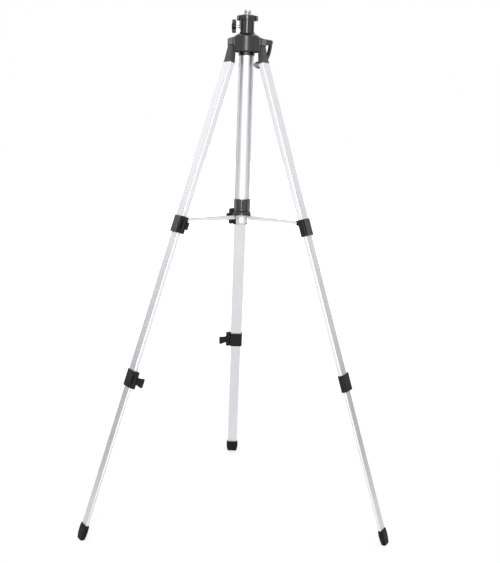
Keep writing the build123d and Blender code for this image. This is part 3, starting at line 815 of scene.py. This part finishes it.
@dataclass
class SpreaderHub:
    """Hub that slides on the centre tube, with its struts.

    Attributes:
        pin_radius: strut pins from the tripod's axis in millimetres.
        pin_height: strut pins above the seat.
        rivet: form of the strut pins.
    """

    pin_radius: float = 23.5
    pin_height: float = -476.2
    rivet: Rivet = Rivet()

    def dress(self, shop: Workshop) -> None:
        """Gives the hub and the struts their finishes and makes the rivets.

        Args:
            shop: the workshop.
        """
        shop.dress("hub_collar", GLOSS_ABS, Edge.TRIM)
        shop.dress("spreader_ring", SHEEN_ABS, Edge.TURNED)
        for leg, azimuth in LEG_AZIMUTHS.items():
            turn = Euler((0, 0, math.radians(azimuth)))
            for part in ("strut_bar", "strut_strips"):
                shop.dress(f"{leg}_{part}", BARE_STRIP, Edge.CUT_METAL, turn, "_" + leg)
        self.rivet.build(shop, across_legs(self.pin_radius, self.pin_height))


@dataclass
class Leg:
    """One telescopic leg.

    Attributes:
        name: which leg it is.
        azimuth: its direction round the tripod in degrees.
        spread: its angle from the vertical in degrees.
    """

    name: str
    azimuth: float
    spread: float = 18.25

    def attitude(self) -> Euler:
        """Gives the leg's attitude: Z up its axis, X outward."""
        turn = Matrix.Rotation(math.radians(self.azimuth), 3, "Z")
        return (turn @ Matrix.Rotation(math.radians(-self.spread), 3, "Y")).to_euler()

    def dress(self, shop: Workshop) -> None:
        """Gives the pieces of the leg their finishes.

        Args:
            shop: the workshop.
        """
        turn, suffix = self.attitude(), "_" + self.name
        for part in ("upper_tube", "middle_tube", "lower_tube"):
            shop.dress(f"{self.name}_{part}", ANODISED_TUBE, Edge.LEG_TUBE, turn, suffix)
        for part in ("middle_bush", "lower_bush"):
            shop.dress(f"{self.name}_{part}", NATURAL_ACETAL, Edge.TRIM)
        for part in ("upper_clamp", "lower_clamp", "upper_knob", "lower_knob"):
            shop.dress(f"{self.name}_{part}", SATIN_NYLON, Edge.GRIPPED)
        shop.dress(f"{self.name}_leg_fitting", FILLED_NYLON, Edge.MOULDED)
        shop.dress(f"{self.name}_foot", BLACK_RUBBER, Edge.RUBBER)


@dataclass(frozen=True)
class Lamp:
    """A softbox of the studio.

    Attributes:
        name: its name.
        place: where it stands, in metres.
        aim: point that it faces.
        size: width and height in metres.
        power: watts.
    """

    name: str
    place: tuple[float, float, float]
    aim: tuple[float, float, float]
    size: tuple[float, float]
    power: float

    def build(self) -> None:
        """Hangs the softbox."""
        data = bpy.data.lights.new(self.name, "AREA")
        data.shape = "RECTANGLE"
        data.size, data.size_y = self.size
        data.energy = self.power
        lamp = bpy.data.objects.new(self.name, data)
        lamp.location = self.place
        lamp.rotation_euler = facing(self.place, self.aim, "-Z").to_euler()
        bpy.context.scene.collection.objects.link(lamp)


@dataclass(frozen=True)
class Card:
    """A dark card beside or behind the object that metal and gloss show at their edges.

    Attributes:
        name: its name.
        place: its middle, in metres.
        aim: point that it faces.
        size: width and height in metres.
        colour: sRGB hex colour.
    """

    name: str
    place: tuple[float, float, float]
    aim: tuple[float, float, float]
    size: tuple[float, float]
    colour: str = "#060606"

    def build(self) -> None:
        """Stands the card up, seen by reflections alone."""
        mesh = bmesh.new()
        bmesh.ops.create_grid(mesh, x_segments=1, y_segments=1, size=0.5)
        turn = facing(self.place, self.aim, "Z").to_matrix().to_4x4()
        place = Matrix.Translation(self.place) @ turn @ Matrix.Diagonal((*self.size, 1.0, 1.0))
        bmesh.ops.transform(mesh, matrix=place, verts=mesh.verts)
        data = bpy.data.meshes.new(self.name)
        mesh.to_mesh(data)
        mesh.free()
        material = bpy.data.materials.new(self.name)
        material.use_nodes = True
        shader = material.node_tree.nodes["Principled BSDF"]
        shader.inputs["Base Color"].default_value = linear(self.colour)
        data.materials.append(material)
        card = bpy.data.objects.new(self.name, data)
        card.visible_camera = False
        card.visible_diffuse = False
        card.visible_shadow = False
        bpy.context.scene.collection.objects.link(card)
        card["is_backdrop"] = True


@dataclass
class Studio:
    """Floor, light and camera.

    Attributes:
        floor: height of the floor in metres.
        lens: focal length in millimetres on a 36 mm sensor.
        eye: where the camera stands, in metres.
        heading: turn of the view from +Y towards +X in degrees.
        pitch: tilt of the view in degrees.
        roll: roll of the view in degrees.
        world: strength of the surrounding light on the object.
        glow: strength of the floor's own white where it is seen.
        glow_share: share of that white near the object, which keeps the shadow.
        glow_from: distance from the tripod's axis where the floor starts to whiten, in metres.
        glow_to: distance where it is all white.
        floor_half: half the floor's width in metres.
        floor_gap: room between soles and floor in metres.
        lamps: the softboxes.
        cards: the dark cards.
    """

    floor: float
    lens: float = 57.79
    eye: tuple[float, float, float] = (-0.0461, -2.1995, -0.2762)
    heading: float = 1.86
    pitch: float = -9.25
    roll: float = 1.81
    world: float = 0.35
    glow: float = 1.42
    glow_share: float = 0.5
    glow_from: float = 1.3
    glow_to: float = 2.6
    floor_half: float = 30.0
    floor_gap: float = 0.0002
    lamps: tuple[Lamp, ...] = (
        Lamp("front_softbox", (-0.31, -3.17, 0.25), (0, 0, -0.45), (0.9, 2.2), 50.0),
        Lamp("left_panel", (-2.05, 1.43, 0.4), (0, 0, -0.3), (0.9, 1.5), 5.0),
        Lamp("right_panel", (2.05, 1.43, 0.4), (0, 0, -0.3), (0.9, 1.5), 3.0),
        Lamp("top_softbox", (0.0, 0.9, 1.9), (0, 0, -0.1), (1.6, 1.6), 20.0),
    )
    cards: tuple[Card, ...] = (
        Card("back_card", (0.0, 1.6, -0.2), (0, 0, -0.2), (3.0, 2.2)),
        Card("left_flag", (-1.9, 0.3, -0.15), (0, 0, -0.15), (1.0, 0.8)),
        Card("right_flag", (1.9, 0.3, -0.15), (0, 0, -0.15), (1.0, 0.8)),
        Card("left_low_flag", (-1.7, 0.9, -1.05), (0, 0, -1.05), (1.5, 0.4)),
        Card("right_low_flag", (1.7, 0.9, -1.05), (0, 0, -1.05), (1.5, 0.4)),
    )

    def build(self) -> None:
        """Builds the studio."""
        scene = bpy.context.scene
        scene.view_settings.view_transform = "Standard"
        self.lay_floor()
        self.light_world(scene)
        for lamp in self.lamps:
            lamp.build()
        for card in self.cards:
            card.build()
        self.stand_camera(scene)

    def lay_floor(self) -> None:
        """Lays a white floor that keeps the object's shadow."""
        mesh = bmesh.new()
        bmesh.ops.create_grid(mesh, x_segments=1, y_segments=1, size=self.floor_half)
        bmesh.ops.translate(mesh, vec=(0, 0, self.floor - self.floor_gap), verts=mesh.verts)
        data = bpy.data.meshes.new("floor")
        mesh.to_mesh(data)
        mesh.free()
        material = bpy.data.materials.new("white_paper_floor")
        material.use_nodes = True
        tree = material.node_tree
        paper = tree.nodes["Principled BSDF"]
        paper.inputs["Base Color"].default_value = linear("#F4F4F4")
        paper.inputs["Roughness"].default_value = 0.9
        paper.inputs["Specular IOR Level"].default_value = 0.0
        lit = add(tree, "ShaderNodeEmission", {"Color": linear("#FFFFFF"), "Strength": self.glow})
        place = add(tree, "ShaderNodeTexCoord").outputs["Object"]
        away = add(tree, "ShaderNodeVectorMath", {"operation": "LENGTH"}, {0: place})
        white = add(tree, "ShaderNodeMapRange",
                    {"interpolation_type": "SMOOTHSTEP", "From Min": self.glow_from,
                     "From Max": self.glow_to, "To Min": self.glow_share},
                    {"Value": away.outputs["Value"]})
        share = add(tree, "ShaderNodeMath", {"operation": "MULTIPLY"},
                    {0: seen(tree), 1: white.outputs["Result"]})
        mixed = add(tree, "ShaderNodeMixShader",
                    links={0: share.outputs[0], 1: paper.outputs[0], 2: lit.outputs[0]})
        tree.links.new(mixed.outputs[0], tree.nodes["Material Output"].inputs["Surface"])
        data.materials.append(material)
        ground = bpy.data.objects.new("floor", data)
        bpy.context.scene.collection.objects.link(ground)
        ground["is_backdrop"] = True

    def light_world(self, scene: bpy.types.Scene) -> None:
        """Surrounds the object with soft light, white where it is seen, straight or mirrored.

        Args:
            scene: the scene.
        """
        world = bpy.data.worlds.new("studio")
        scene.world = world
        world.use_nodes = True
        tree = world.node_tree
        strength = add(tree, "ShaderNodeMapRange", {"To Min": self.world, "To Max": 1.0},
                       {"Value": seen(tree)})
        background = tree.nodes["Background"]
        background.inputs["Color"].default_value = linear("#FFFFFF")
        tree.links.new(strength.outputs[0], background.inputs["Strength"])

    def stand_camera(self, scene: bpy.types.Scene) -> None:
        """Stands the camera where the photograph was taken from.

        Args:
            scene: the scene.
        """
        data = bpy.data.cameras.new("camera")
        data.lens = self.lens
        data.sensor_width = 36.0
        camera = bpy.data.objects.new("camera", data)
        turn = Matrix.Rotation(math.radians(-self.heading), 4, "Z")
        tilt = Matrix.Rotation(math.radians(90 + self.pitch), 4, "X")
        roll = Matrix.Rotation(math.radians(self.roll), 4, "Z")
        camera.matrix_world = Matrix.Translation(self.eye) @ turn @ tilt @ roll
        scene.collection.objects.link(camera)
        scene.camera = camera


def main() -> None:
    """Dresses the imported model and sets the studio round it."""
    logging.basicConfig(level=logging.INFO, format="%(name)s: %(message)s")
    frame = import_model()
    cad = [list(corner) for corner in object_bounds()]
    shop = Workshop(frame["nodes"])
    Head().dress(shop)
    Column().dress(shop)
    Crank().dress(shop)
    SpreaderHub().dress(shop)
    for name, azimuth in LEG_AZIMUTHS.items():
        Leg(name, azimuth).dress(shop)
    Studio(floor=cad[0][2]).build()


if __name__ == "__main__":
    main()
